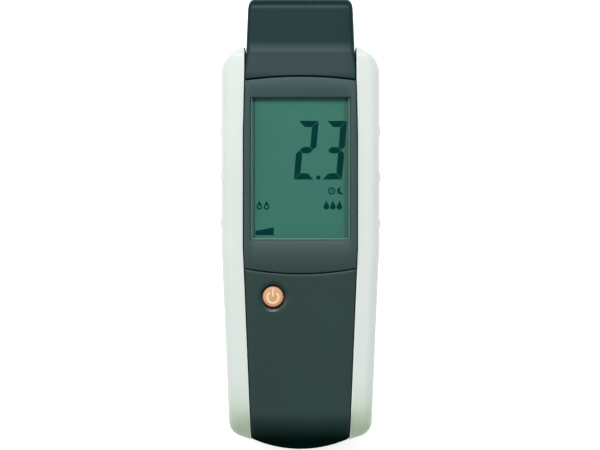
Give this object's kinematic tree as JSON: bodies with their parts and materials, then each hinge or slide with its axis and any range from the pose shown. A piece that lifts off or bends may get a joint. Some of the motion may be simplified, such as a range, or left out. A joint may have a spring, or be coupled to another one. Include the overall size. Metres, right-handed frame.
{
  "type": "moisture meter",
  "caption": "Hand-held pin-type moisture meter with a segment display, a power button, electrode pins under a pull-off cap and a sliding battery cover.",
  "frame": {"origin": "centre of the bounding box's footprint, on the flat back", "axes": "+Y towards the electrode pins, +Z out of the display, +X to the right as the display is read"},
  "size_m": [0.0496, 0.139, 0.026],
  "materials": {
    "case_dark": "fine moulded texture",
    "cap_dark": "smooth satin",
    "rail_silver": "silver paint, satin",
    "window_clear": "clear polished",
    "gasket_foam": "matt foam",
    "lcd_green": "polished, grey green",
    "lcd_ink": "dark liquid crystal",
    "reflector_film": "satin film",
    "frame_black": "moulded",
    "zebra_rubber": "soft elastomer",
    "board_green": "solder mask",
    "chip_black": "moulded epoxy",
    "chip_ceramic": "fired ceramic",
    "switch_black": "moulded",
    "button_orange": "satin",
    "icon_cream": "printed",
    "probe_dark": "moulded",
    "socket_brass": "turned",
    "pin_steel": "ground",
    "collar_nickel": "nickel plated",
    "wire_red": "insulated",
    "cell_steel": "nickel plated",
    "contact_plated": "plated spring strip",
    "screw_steel": "zinc plated"
  },
  "bodies": {
    "case": {"front_housing": "case_dark", "rear_housing": "case_dark", "left_side_rail": "rail_silver", "right_side_rail": "rail_silver", "display_bezel": "case_dark", "display_window": "window_clear", "window_gasket": "gasket_foam", "lcd_glass": "lcd_green", "lcd_segments": "lcd_ink", "lcd_reflector": "reflector_film", "lcd_frame": "frame_black", "zebra_strip_upper": "zebra_rubber", "zebra_strip_lower": "zebra_rubber", "main_board": "board_green", "controller_chip": "chip_black", "amplifier_chip": "chip_black", "chip_resistors": "chip_black", "chip_capacitors": "chip_ceramic", "switch_base": "switch_black", "probe_head": "probe_dark", "pin_socket_left": "socket_brass", "pin_socket_right": "socket_brass", "electrode_pin_left": "pin_steel", "electrode_pin_right": "pin_steel", "pin_collar_left": "collar_nickel", "pin_collar_right": "collar_nickel", "pin_wire_left": "wire_red", "pin_wire_right": "wire_red", "coin_cell_bottom": "cell_steel", "coin_cell_middle": "cell_steel", "coin_cell_top": "cell_steel", "battery_side_contact": "contact_plated", "battery_top_contact": "contact_plated", "case_screws": "screw_steel", "board_screws": "screw_steel"},
    "cap": {"protective_cap": "cap_dark"},
    "battery_door": {"battery_cover": "case_dark"},
    "button": {"power_button": "button_orange", "button_icon": "icon_cream"},
    "plunger": {"switch_plunger": "switch_black"}
  },
  "joints": [
    {"name": "cap_pull", "type": "slide", "parent": "case", "child": "cap", "axis": [0, 1, 0], "range_m": [0, 0.045]},
    {"name": "battery_cover_slide", "type": "slide", "parent": "case", "child": "battery_door", "axis": [0, -1, 0], "range_m": [0, 0.038]},
    {"name": "power_press", "type": "slide", "parent": "case", "child": "button", "axis": [0, 0, -1], "range_m": [0, 0.0005], "stiffness_N_per_m": 1000},
    {"name": "plunger_press", "type": "slide", "parent": "case", "child": "plunger", "axis": [0, 0, -1], "range_m": [0, 0.0005]}
  ],
  "couplings": [
    {"joint": "plunger_press", "follows": "power_press", "ratio": 1}
  ]
}
